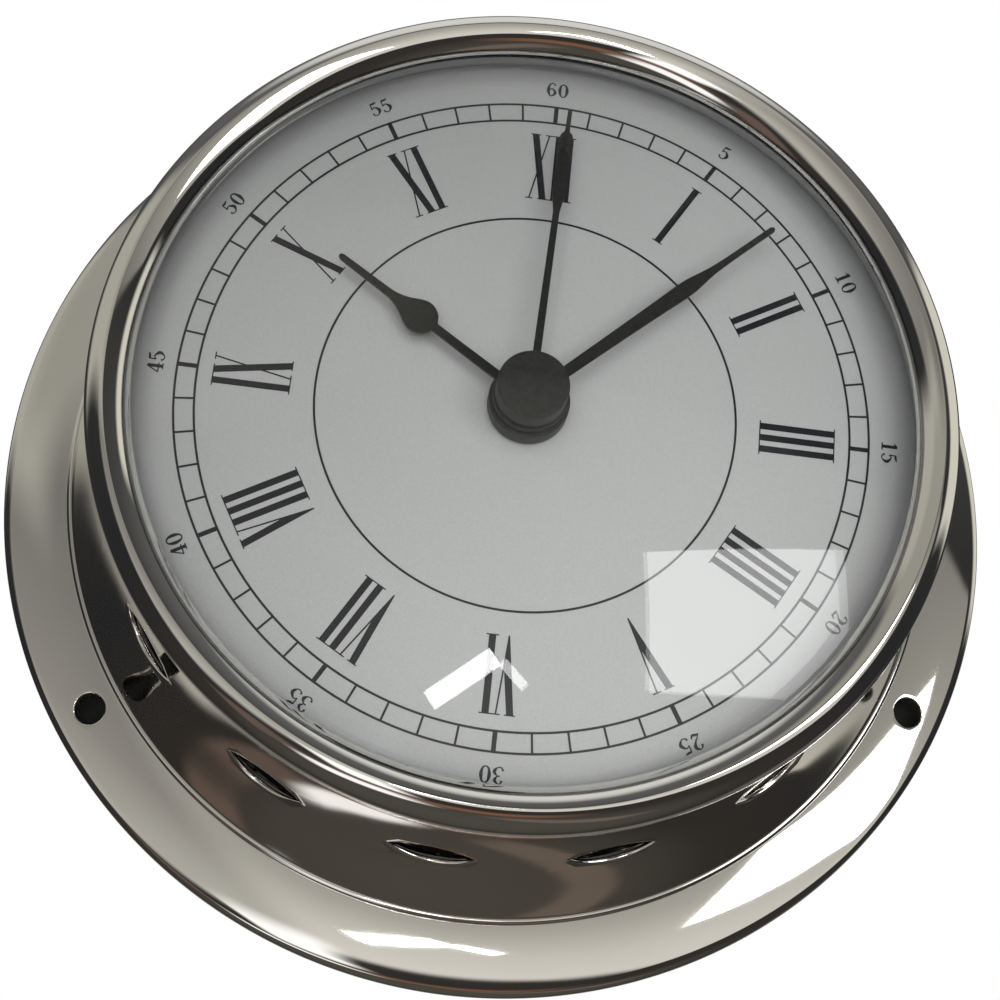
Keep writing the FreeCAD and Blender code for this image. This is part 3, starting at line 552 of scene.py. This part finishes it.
def glass():
    """A domed pane between two spheres of the same rise, with a flat rim under the gasket."""
    rise = GLASS_APEX - GASKET_LOW
    outer = (DOME_RIM ** 2 + rise ** 2) / (2 * rise)
    inner = (DOME_INNER_RIM ** 2 + rise ** 2) / (2 * rise)
    apex = (0.0, GLASS_LOW + rise)
    profile = [apex] + arc(apex, (DOME_INNER_RIM, GLASS_LOW), -inner, 48)
    profile += soften([(GLASS_RADIUS, GLASS_LOW), (GLASS_RADIUS, GASKET_LOW)], 0.1)
    profile += [(DOME_RIM, GASKET_LOW)]
    profile += arc((DOME_RIM, GASKET_LOW), (0.0, GLASS_APEX), outer, 48)
    mesh = revolve("domed_glass_pane", profile, 240)
    piece = make_object("domed_glass_pane", mesh, "instrument", MATERIALS["glass"])
    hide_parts("domed_glass")


def reflector():
    """The pale ring that fills the gap between the dial and the glass."""
    profile = outline([(RING_INNER + 0.4, DIAL), (RING_OUTER, DIAL), (RING_OUTER, RING_TOP),
                       (RING_INNER, RING_TOP), (RING_INNER, RING_TOP - 0.3)], 0.06)
    mesh = revolve("reflector_ring_turned", profile, 360)
    piece = make_object("reflector_ring_turned", mesh, "instrument", MATERIALS["dial_silver"])
    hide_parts("reflector_ring")


# ------------------------------------------------------------------ dial print
INK_LOW, INK_HIGH = DIAL - 0.005, DIAL + 0.018


def ring_band(points, faces, inner, outer):
    """Adds a printed circle between two radii."""
    start, count = len(points), 360
    for step in range(count):
        angle = 2 * math.pi * step / count
        c, s = math.cos(angle), math.sin(angle)
        for radius, level in ((inner, INK_LOW), (outer, INK_LOW), (outer, INK_HIGH),
                              (inner, INK_HIGH)):
            points.append((radius * c, radius * s, level))
    for step in range(count):
        here, ahead = start + 4 * step, start + 4 * ((step + 1) % count)
        for side in range(4):
            after = (side + 1) % 4
            faces.append((here + side, ahead + side, ahead + after, here + after))


def minute_track():
    """Two fine circles with a tick for each minute, heavier at every fifth, and an inner one."""
    points, faces = [], []
    line = 0.125
    for radius in (TRACK_INNER, TRACK_OUTER, INNER_CIRCLE):
        ring_band(points, faces, radius - line, radius + line)
    for minute in range(60):
        half = 0.25 if minute % 5 == 0 else 0.12
        low, high = TRACK_INNER + line * 0.5, TRACK_OUTER - line * 0.5
        tick = [(-half, low), (half, low), (half, high), (-half, high)]
        prism(points, faces, turn_flat(tick, 6 * minute), INK_LOW, INK_HIGH + 0.001)
    return mesh_from("minute_track_print", points, faces)


THICK, THIN, SERIF = 0.74, 0.17, 0.13
WIDTHS = {"I": 1.32, "V": 2.45, "X": 2.6}


def slanted(top_x, low_x, weight, height):
    """A stroke from the base line up, given by the middles of its two ends."""
    half = weight / 2
    return [(low_x - half, 0.0), (low_x + half, 0.0), (top_x + half, height),
            (top_x - half, height)]


def roman_letter(letter, left, height):
    """The strokes of one letter with thick and thin lines and hairline serifs."""
    width = WIDTHS[letter]
    middle = left + width / 2
    strokes = []
    serifs = []
    if letter == "I":
        strokes.append(slanted(middle, middle, THICK, height))
        serifs = [(middle, 0.0, width), (middle, height - SERIF, width)]
    elif letter == "V":
        start, foot, far = left + 0.2, middle + 0.15, left + width - 0.4
        meet = THICK / (far - start)
        strokes.append([(start, height), (foot - 0.06, 0.0), (foot + 0.06, 0.0),
                        (start + THICK + (foot - start) * (1 - meet), height * meet),
                        (start + THICK, height)])
        strokes.append(slanted(far, foot, THIN, height))
        serifs = [(left + 0.6, height - SERIF, 1.15), (left + width - 0.4, height - SERIF, 0.9)]
    else:
        strokes.append(slanted(left + 0.55, left + width - 0.6, THICK * 1.05, height))
        strokes.append(slanted(left + width - 0.45, left + 0.45, THIN, height))
        serifs = [(left + 0.6, height - SERIF, 1.15), (left + width - 0.45, height - SERIF, 0.85),
                  (left + width - 0.6, 0.0, 1.15), (left + 0.45, 0.0, 0.85)]
    for x, low, length in serifs:
        strokes.append([(x - length / 2, low), (x + length / 2, low),
                        (x + length / 2, low + SERIF), (x - length / 2, low + SERIF)])
    return strokes


def roman_numerals():
    names = ["XII", "I", "II", "III", "IIII", "V", "VI", "VII", "VIII", "IX", "X", "XI"]
    points, faces = [], []
    height = ROMAN_HIGH - ROMAN_LOW
    for hour, name in enumerate(names):
        left = -sum(WIDTHS[letter] for letter in name) / 2
        layer = 0
        for letter in name:
            for stroke in roman_letter(letter, left, height):
                placed = turn_flat([(x, y + ROMAN_LOW) for x, y in stroke], 30 * hour)
                prism(points, faces, placed, INK_LOW, INK_HIGH + 0.0005 * layer)
                layer += 1
            left += WIDTHS[letter]
    return mesh_from("roman_numerals_print", points, faces, 0)


FINE, FAT = 0.08, 0.21
DIGITS = {
    "0": [[(0.34, 0.98, FINE), (0.17, 0.86, 0.12), (0.10, 0.50, FAT), (0.17, 0.14, 0.12),
           (0.34, 0.02, FINE), (0.51, 0.14, 0.12), (0.58, 0.50, FAT), (0.51, 0.86, 0.12),
           (0.34, 0.98, FINE)]],
    "1": [[(0.33, 0.0, FAT), (0.33, 0.5, FAT), (0.33, 0.99, FAT)],
          [(0.10, 0.80, FINE), (0.22, 0.88, FINE), (0.33, 0.97, FINE)],
          [(0.08, 0.02, FINE), (0.33, 0.02, FINE), (0.58, 0.02, FINE)]],
    "2": [[(0.12, 0.72, 0.17), (0.15, 0.88, 0.09), (0.34, 0.97, FINE), (0.54, 0.78, FAT),
           (0.44, 0.50, 0.13), (0.22, 0.25, 0.07), (0.08, 0.05, FINE)],
          [(0.08, 0.07, 0.07), (0.26, 0.09, 0.15), (0.46, 0.05, 0.14), (0.59, 0.24, FINE)]],
    "3": [[(0.12, 0.78, 0.16), (0.18, 0.92, 0.08), (0.34, 0.98, FINE), (0.53, 0.77, 0.18),
           (0.40, 0.56, 0.07), (0.24, 0.53, FINE)],
          [(0.24, 0.53, FINE), (0.44, 0.49, 0.08), (0.58, 0.27, FAT), (0.42, 0.05, 0.07),
           (0.24, 0.02, FINE), (0.12, 0.10, 0.09), (0.10, 0.22, 0.16)]],
    "4": [[(0.45, 0.98, FINE), (0.25, 0.64, FINE), (0.05, 0.28, FINE)],
          [(0.04, 0.28, FINE), (0.35, 0.28, FINE), (0.66, 0.28, FINE)],
          [(0.45, 0.0, FAT), (0.45, 0.5, FAT), (0.45, 0.95, FAT)],
          [(0.26, 0.02, FINE), (0.45, 0.02, FINE), (0.64, 0.02, FINE)]],
    "5": [[(0.15, 0.90, 0.13), (0.33, 0.90, 0.14), (0.54, 0.96, 0.07)],
          [(0.14, 0.93, FINE), (0.13, 0.72, FINE), (0.12, 0.50, FINE)],
          [(0.12, 0.50, FINE), (0.32, 0.61, 0.08), (0.57, 0.34, FAT), (0.42, 0.05, 0.08),
           (0.24, 0.02, FINE), (0.12, 0.09, 0.09), (0.10, 0.20, 0.16)]],
    "6": [[(0.54, 0.82, 0.15), (0.47, 0.95, 0.07), (0.34, 0.98, FINE), (0.17, 0.83, 0.12),
           (0.10, 0.45, FAT), (0.18, 0.11, 0.12), (0.34, 0.02, FINE), (0.56, 0.28, 0.18),
           (0.36, 0.58, FINE), (0.17, 0.44, FINE)]],
}


def spline(points, steps=8):
    """A smooth line through points, whose width changes smoothly too."""
    padded = [points[0]] + points + [points[-1]]
    line = []
    for a, b, c, d in zip(padded, padded[1:], padded[2:], padded[3:]):
        for step in range(steps):
            t = step / steps
            line.append(tuple(0.5 * (2 * q + (r - p) * t + (2 * p - 5 * q + 4 * r - s) * t * t
                                     + (3 * q - p - 3 * r + s) * t ** 3)
                              for p, q, r, s in zip(a, b, c, d)))
    return line + [points[-1]]


def ribbon(points, faces, stroke, place, top):
    """A closed solid along a stroke of changing width."""
    line = spline(stroke)
    start = len(points)
    for number, (x, y, width) in enumerate(line):
        ahead, behind = line[min(number + 1, len(line) - 1)], line[max(number - 1, 0)]
        across = Vector((behind[1] - ahead[1], ahead[0] - behind[0])).normalized() * width / 2
        for side in (-1, 1):
            spot = place(x + side * across.x, y + side * across.y)
            points.append(spot + (INK_LOW,))
            points.append(spot + (top,))
    for number in range(len(line) - 1):
        here, ahead = start + 4 * number, start + 4 * number + 4
        for low, high in ((0, 1), (1, 3), (3, 2), (2, 0)):
            faces.append((here + low, ahead + low, ahead + high, here + high))
    last = start + 4 * (len(line) - 1)
    faces.append((start, start + 1, start + 3, start + 2))
    faces.append((last + 2, last + 3, last + 1, last))


def minute_numbers():
    points, faces = [], []
    advance = 0.76
    for minute in range(5, 61, 5):
        text = str(minute)
        for number, digit in enumerate(text):
            left = (number - len(text) / 2) * advance

            def place(x, y, left=left, minute=minute):
                flat = ((left + x) * ARABIC_HEIGHT, ARABIC_LOW + y * ARABIC_HEIGHT)
                return turn_flat([flat], 6 * minute)[0]

            for layer, stroke in enumerate(DIGITS[digit]):
                ribbon(points, faces, stroke, place, INK_HIGH + 0.0005 * layer)
    return mesh_from("minute_numbers_print", points, faces, 0)


def dial_print():
    for mesh in (minute_track(), roman_numerals(), minute_numbers()):
        make_object(mesh.name, mesh, "instrument", MATERIALS["ink"])


# ------------------------------------------------------------------ hands
def hub(name, body, material, corners, angle, rounding, replaced=None):
    mesh = revolve(name, outline(corners, rounding), 160, turn=-angle)
    piece = make_object(name, mesh, body, MATERIALS[material])
    if replaced:
        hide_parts(replaced)
    return piece


def blade(name, body, half_outline, low, high, angle):
    """A stamped blade from the right half of its outline, hub first, with broken edges."""
    line = half_outline + [(-x, y) for x, y in reversed(half_outline)]
    points, faces = [], []
    prism(points, faces, turn_flat(line, angle), low, high)
    mesh = mesh_from(name, points, faces)
    piece = make_object(name, mesh, body, MATERIALS["hand_black"])
    bevel = piece.modifiers.new("broken_edges", "BEVEL")
    bevel.width = 0.05 * MM
    bevel.segments = 2
    bevel.limit_method = "ANGLE"
    return piece


def half_spline(points):
    """A smooth line through (x, y) points."""
    return [spot[:2] for spot in spline([point + (0.0,) for point in points], 6)]


def hour_hand():
    radius, tube, roof = 4.4, 2.05, 0.65
    hub("hour_hand_hub", "hour_train", "cap_black", [
        (radius - 0.5, HOUR_LOW), (radius, HOUR_LOW), (radius, HOUR_TOP), (tube, HOUR_TOP),
        (tube, HOUR_TOP - roof), (radius - 0.5, HOUR_TOP - roof)], HOUR_ANGLE, 0.15, "hour_hand")
    bulb, reach = 15.0, 26.3
    shape = [(0.52, 3.9), (0.48, bulb - 2.5), (0.62, bulb - 1.95), (1.32, bulb - 1.45),
             (1.84, bulb - 0.55), (1.90, bulb + 0.3), (1.58, bulb + 1.2), (1.02, bulb + 2.2),
             (0.62, bulb + 3.3), (0.44, bulb + 4.6), (0.38, reach - 3.0), (0.33, reach - 0.3)]
    blade("hour_hand_blade", "hour_train", half_spline(shape) + [(0.15, reach)],
          HOUR_TOP - 0.4, HOUR_TOP, HOUR_ANGLE)


def minute_hand():
    tube = 1.38
    hub("minute_hand_hub", "minute_train", "cap_black", [
        (tube, MINUTE_LOW), (4.0, MINUTE_LOW), (4.0, MINUTE_TOP), (tube, MINUTE_TOP)],
        MINUTE_ANGLE, 0.12, "minute_hand")
    bulge, reach = 21.6, 34.9
    shape = [(0.62, 3.4), (0.72, 12.0), (0.84, bulge - 3.0), (0.90, bulge - 0.4),
             (0.84, bulge + 1.2), (0.60, bulge + 3.0), (0.44, bulge + 4.6), (0.37, bulge + 7.0),
             (0.34, reach - 0.3)]
    blade("minute_hand_blade", "minute_train", half_spline(shape) + [(0.10, reach)],
          MINUTE_LOW + 0.4, MINUTE_LOW + 0.7, MINUTE_ANGLE)


def second_hand():
    thick = SECOND_TOP - SECOND_LOW
    hub("second_hand_boss", "second_train", "hand_black", [
        (0.55, SECOND_LOW), (3.0, SECOND_LOW), (3.0, SECOND_TOP), (0.55, SECOND_TOP)],
        SECOND_ANGLE, 0.05, "second_hand")
    shape = [(0.44, 2.4), (0.42, 10.0), (0.36, 22.0), (0.50, 23.0), (0.70, 24.0), (0.76, 25.0),
             (0.76, 31.5), (0.62, 32.0), (0.30, 32.3), (0.26, 33.0), (0.24, 35.3)]
    blade("second_hand_blade", "second_train", shape, SECOND_LOW, SECOND_LOW + thick,
          SECOND_ANGLE)
    hub("hand_cap_turned", "second_train", "cap_black", [
        (0.55, CAP_LOW), (CAP_RADIUS, CAP_LOW), (CAP_RADIUS, CAP_TOP), (0.0, CAP_TOP),
        (0.0, CAP_TOP - 0.4), (0.55, CAP_TOP - 0.4)], SECOND_ANGLE, 0.22, "hand_cap")


# ------------------------------------------------------------------ studio
CAMERA_PLACE = (-0.01205, -0.16888, -0.07121)   # in metres, from the middle of the dial
CAMERA_TARGET = (-0.0019, 0.0, -0.0109)
CAMERA_ROLL, FOCAL_LENGTH = 5.85, 61.1
LAMP_DISTANCE = 1.0                             # metres


def toward(azimuth, elevation):
    """A direction from the clock: azimuth 0 is straight out of the wall, 90 is to the right."""
    across, up = math.radians(azimuth), math.radians(elevation)
    return Vector((math.sin(across) * math.cos(up), -math.cos(across) * math.cos(up),
                   math.sin(up)))


def aim(thing, target, roll=0.0):
    """Points a lamp or camera at a target, turned about its own line of sight."""
    look = (target - thing.location).to_track_quat("-Z", "Y")
    thing.rotation_mode = "QUATERNION"
    thing.rotation_quaternion = look @ Matrix.Rotation(math.radians(roll), 4, "Z").to_quaternion()


def camera():
    """Below and a little to the left of the clock, looking up at the dial."""
    data = bpy.data.cameras.new("camera")
    data.sensor_width = 36.0
    data.lens = FOCAL_LENGTH
    data.clip_start = 0.01
    seen = add_object("camera", data)
    centre = stand(0, 0, DIAL)
    seen.location = centre + Vector(CAMERA_PLACE)
    aim(seen, centre + Vector(CAMERA_TARGET), CAMERA_ROLL)
    bpy.context.scene.camera = seen


def soft_box(name, place, spread, radiance, roll=0.0, mirrored=True):
    """A flat lamp: place is its azimuth and elevation and spread its size, all in degrees."""
    data = bpy.data.lights.new(name, "AREA")
    data.shape = "RECTANGLE"
    data.size, data.size_y = (2 * LAMP_DISTANCE * math.tan(math.radians(part / 2))
                              for part in spread)
    data.energy = radiance * math.pi * data.size * data.size_y
    lamp = add_object(name, data)
    lamp.location = toward(*place) * LAMP_DISTANCE
    aim(lamp, Vector((0, 0, 0)), roll)
    lamp.visible_camera = False
    lamp.visible_glossy = mirrored


class Room:
    """The room that the clock lights up in and mirrors, as colours by direction."""

    def __init__(self, name):
        self.world = bpy.data.worlds.new(name)
        self.world.use_nodes = True
        self.tree = self.world.node_tree
        self.tree.nodes.clear()
        self.place = self.add("ShaderNodeTexCoord").outputs["Generated"]
        self.colour = None

    def add(self, kind, **values):
        node = self.tree.nodes.new(kind)
        for key, value in values.items():
            setattr(node, key, value)
        return node

    def feed(self, socket, value):
        if isinstance(value, bpy.types.NodeSocket):
            self.tree.links.new(value, socket)
        else:
            socket.default_value = value

    def math(self, operation, first, second=0.0):
        node = self.add("ShaderNodeMath", operation=operation)
        self.feed(node.inputs[0], first)
        self.feed(node.inputs[1], second)
        return node.outputs[0]

    def along(self, direction):
        node = self.add("ShaderNodeVectorMath", operation="DOT_PRODUCT")
        self.feed(node.inputs[0], self.place)
        self.feed(node.inputs[1], direction)
        return node.outputs["Value"]

    def fade(self, value, low, high):
        """One at or below low, none at or above high, and a soft step between them."""
        node = self.add("ShaderNodeMapRange", interpolation_type="SMOOTHSTEP")
        for socket, number in zip(node.inputs[1:5], (low, high, 1.0, 0.0)):
            socket.default_value = number
        self.feed(node.inputs["Value"], value)
        return node.outputs["Result"]

    def paint(self, mask, tone):
        """Lays a tone over what is there so far, where the mask is one."""
        node = self.add("ShaderNodeMix", data_type="RGBA")
        self.feed(node.inputs["Factor"], mask)
        self.feed(node.inputs["A"], self.colour if self.colour else (0, 0, 0, 1))
        self.feed(node.inputs["B"], tone if isinstance(tone, bpy.types.NodeSocket) else (*tone, 1))
        self.colour = node.outputs["Result"]

    def by_height(self, stops):
        """A ramp of tones by elevation in degrees."""
        ramp = self.add("ShaderNodeValToRGB")
        elements = ramp.color_ramp.elements
        while len(elements) < len(stops):
            elements.new(0.5)
        for element, (elevation, tone) in zip(elements, stops):
            element.position = (math.sin(math.radians(elevation)) + 1) / 2
            element.color = (*tone, 1)
        height = self.math("MULTIPLY_ADD", self.along((0, 0, 1)), 0.5)
        height.node.inputs[2].default_value = 0.5
        self.feed(ramp.inputs["Fac"], height)
        return ramp.outputs["Color"]

    def panel(self, azimuth, elevation, width, height, soft, tone):
        """Paints a soft rectangle, sized in degrees, that faces the clock."""
        ahead = toward(azimuth, elevation)
        right = Vector((0, 0, 1)).cross(-ahead).normalized()
        up = right.cross(ahead)
        depth = self.along(ahead)
        mask = self.math("GREATER_THAN", depth, 0.0)
        for side, size in ((right, width), (up, height)):
            reach = math.tan(math.radians(size / 2))
            offset = self.math("ABSOLUTE", self.math("DIVIDE", self.along(side), depth))
            mask = self.math("MULTIPLY", mask, self.fade(offset, reach * (1 - soft),
                                                         reach * (1 + soft)))
        self.paint(mask, tone)

    def finish(self):
        """White for the camera's own view, and the painted room for everything else."""
        path = self.add("ShaderNodeLightPath")
        room = self.add("ShaderNodeBackground")
        white = self.add("ShaderNodeBackground")
        mix = self.add("ShaderNodeMixShader")
        out = self.add("ShaderNodeOutputWorld")
        self.feed(room.inputs["Color"], self.colour)
        self.feed(white.inputs["Color"], (1, 1, 1, 1))
        self.feed(mix.inputs["Fac"], path.outputs["Is Camera Ray"])
        self.feed(mix.inputs[1], room.outputs["Background"])
        self.feed(mix.inputs[2], white.outputs["Background"])
        self.feed(out.inputs["Surface"], mix.outputs["Shader"])
        bpy.context.scene.world = self.world


def room():
    """A pale wall in front between dark sides, over a dim ceiling and a dark table."""
    made = Room("studio_room")
    dark = (0.022, 0.022, 0.024)
    made.paint(1.0, made.by_height([
        (-90, (0.075, 0.07, 0.06)), (-58, (0.065, 0.06, 0.052)), (-40, (0.035, 0.031, 0.028)),
        (-10, dark), (18, (0.03, 0.03, 0.03)), (36, (0.06, 0.06, 0.06)),
        (58, (0.12, 0.12, 0.12)), (69, (0.66, 0.66, 0.64)), (90, (0.70, 0.70, 0.68))]))
    wall = made.by_height([(-32, (0.74, 0.72, 0.68)), (-18, (0.62, 0.605, 0.56)),
                           (-4, (0.41, 0.40, 0.365)), (12, (0.28, 0.275, 0.25)),
                           (26, (0.15, 0.15, 0.145))])
    # the wall in front, and the shaded left part of it
    made.panel(2, -3, 112, 52, 0.05, wall)
    shade = made.by_height([(-32, (0.52, 0.51, 0.48)), (-18, (0.42, 0.41, 0.375)),
                            (-4, (0.28, 0.27, 0.25)), (12, (0.21, 0.205, 0.19)),
                            (26, (0.13, 0.13, 0.125))])
    made.panel(-34, -3, 42, 52, 0.25, shade)
    # pale surfaces high on the left and the right
    made.panel(-75, 31, 84, 30, 0.35, (0.42, 0.41, 0.365))
    made.panel(-30, 33, 36, 26, 0.35, (0.33, 0.325, 0.29))
    made.panel(95, 27, 54, 34, 0.2, (0.66, 0.65, 0.58))
    # the warm edge of the table, and two grey patches behind the clock
    made.panel(-4, -48, 34, 9, 0.5, (0.20, 0.10, 0.06))
    made.panel(180, -10, 64, 50, 0.3, (0.16, 0.155, 0.145))
    made.panel(138, -18, 26, 24, 0.5, (0.12, 0.115, 0.11))
    # bright papers on the table, and two dull brown things beside them
    made.panel(-16, -33, 12, 15, 0.4, (1.2, 1.2, 1.2))
    made.panel(-33, -54, 24, 11, 0.4, (1.1, 1.1, 1.12))
    made.panel(-58, -44, 24, 12, 0.4, (0.13, 0.095, 0.08))
    made.panel(44, -64, 30, 9, 0.4, (0.15, 0.12, 0.10))
    made.finish()


def floor():
    """A wide pale floor under the clock, in metres, which the chrome doesn't mirror."""
    mesh = bpy.data.meshes.new("floor")
    reach, level = 3.0, -0.32
    mesh.from_pydata([(-reach, -reach, level), (reach, -reach, level), (reach, reach, level),
                      (-reach, reach, level)], [], [(0, 1, 2, 3)])
    made = Nodes("floor_paint")
    made.tint(made.noise(6, 3), (0.80, 0.80, 0.79), (0.84, 0.84, 0.83))
    made.set(Roughness=0.7, Emission_Color=(1, 1, 1, 1), Emission_Strength=0.45)
    mesh.materials.append(made.material)
    ground = add_object("floor", mesh)
    ground.visible_glossy = False


def hole_cards():
    """Small black cards on the wall behind the screw holes: painted shade that makes the holes
    look deep.
    """
    made = Nodes("painted_shade_card")
    # near-black card colour: painted shade seen through the screw holes
    made.tint(made.noise(400, 2), (0.006, 0.006, 0.006), (0.012, 0.012, 0.012))
    made.set(Roughness=0.9)
    radius, level = 2.4, -0.4
    for number in range(3):
        bearing = math.radians(90 + BASE_CLOCKING + 120 * number)
        x, y = SCREW_CIRCLE * math.cos(bearing), SCREW_CIRCLE * math.sin(bearing)
        angles = [math.radians(step) for step in range(0, 360, 12)]
        ring = [(x + radius * math.cos(a), y + radius * math.sin(a), level) for a in angles]
        mesh = mesh_from("hole_shade_card_%d" % number, ring, [tuple(range(len(ring)))])
        mesh.materials.append(made.material)
        add_object(mesh.name, mesh)


def studio():
    room()
    floor()
    hole_cards()
    soft_box("window", (35, -5), (27, 18), 4.2, roll=12)
    soft_box("lamp_left", (-1.5, -18.5), (10, 2.6), 14.0, roll=40)
    soft_box("lamp_right", (5.2, -17.2), (4.4, 1.3), 7.0, roll=-40)
    soft_box("fill", (-2, 2), (48, 40), 2.15, mirrored=False)
    soft_box("low_fill", (0, -30), (70, 40), 0.5, mirrored=False)
    soft_box("rear_fill", (180, 18), (80, 60), 2.2, mirrored=False)
    bpy.context.scene.view_settings.view_transform = "Standard"


dress_cad_nodes()
camera()
studio()
flange()
drum()
bezel()
glass()
reflector()
dial_print()
hour_hand()
minute_hand()
second_hand()
